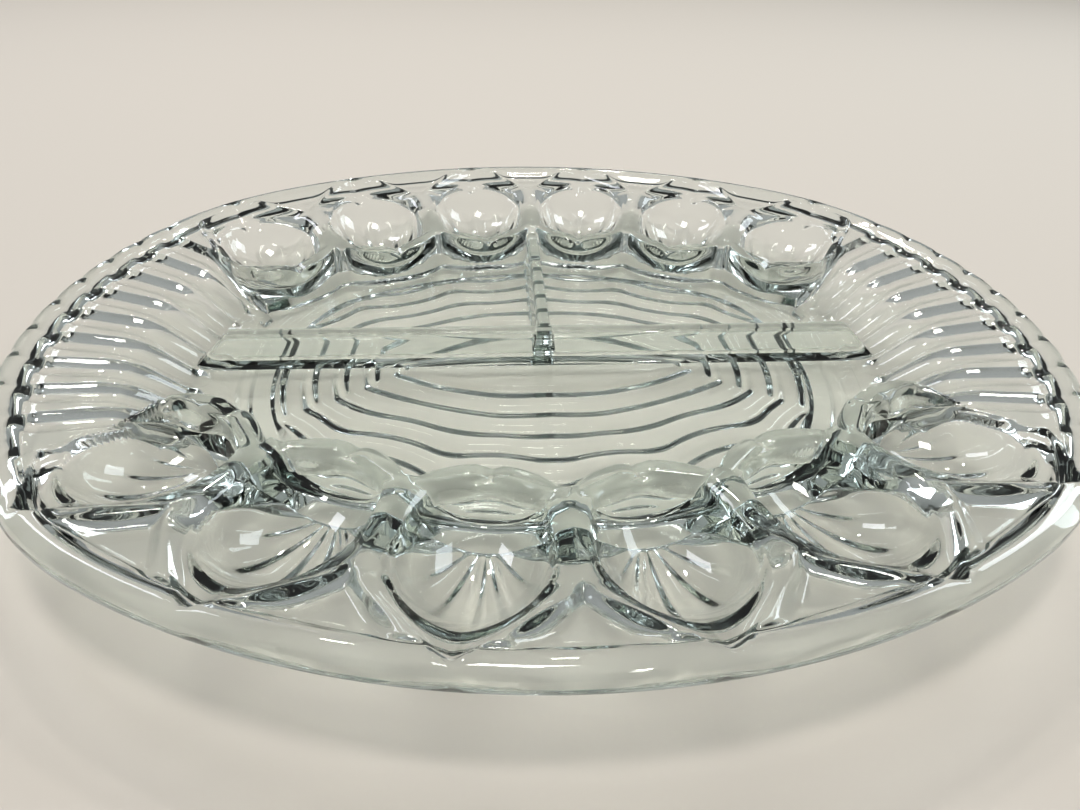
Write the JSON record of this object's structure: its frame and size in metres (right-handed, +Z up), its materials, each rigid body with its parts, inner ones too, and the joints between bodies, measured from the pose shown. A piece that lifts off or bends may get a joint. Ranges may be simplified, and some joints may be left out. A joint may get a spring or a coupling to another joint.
{
  "type": "deviled egg platter",
  "caption": "Oval pressed-glass platter with egg wells along both long sides, fluted shell ends and a divided, ribbed centre basin on a low foot ring.",
  "frame": {"origin": "on the table, under the middle of the oval, in the plane of the foot ring", "axes": "+X along the length, towards the right fluted end; +Y towards the side with the two small compartments; +Z up"},
  "size_m": [0.318, 0.277, 0.028],
  "materials": {
    "pressed_glass": "fire-polished clear glass with a faint grey-green tint"
  },
  "bodies": {
    "root": {"rim_band": "pressed_glass", "fluted_end_left": "pressed_glass", "fluted_end_right": "pressed_glass", "egg_well_front_1": "pressed_glass", "egg_well_front_2": "pressed_glass", "egg_well_front_3": "pressed_glass", "egg_well_front_4": "pressed_glass", "egg_well_front_5": "pressed_glass", "egg_well_front_6": "pressed_glass", "egg_well_back_1": "pressed_glass", "egg_well_back_2": "pressed_glass", "egg_well_back_3": "pressed_glass", "egg_well_back_4": "pressed_glass", "egg_well_back_5": "pressed_glass", "egg_well_back_6": "pressed_glass", "compartment_floor": "pressed_glass", "long_divider": "pressed_glass", "cross_divider": "pressed_glass", "foot_ring": "pressed_glass"}
  },
  "joints": []
}
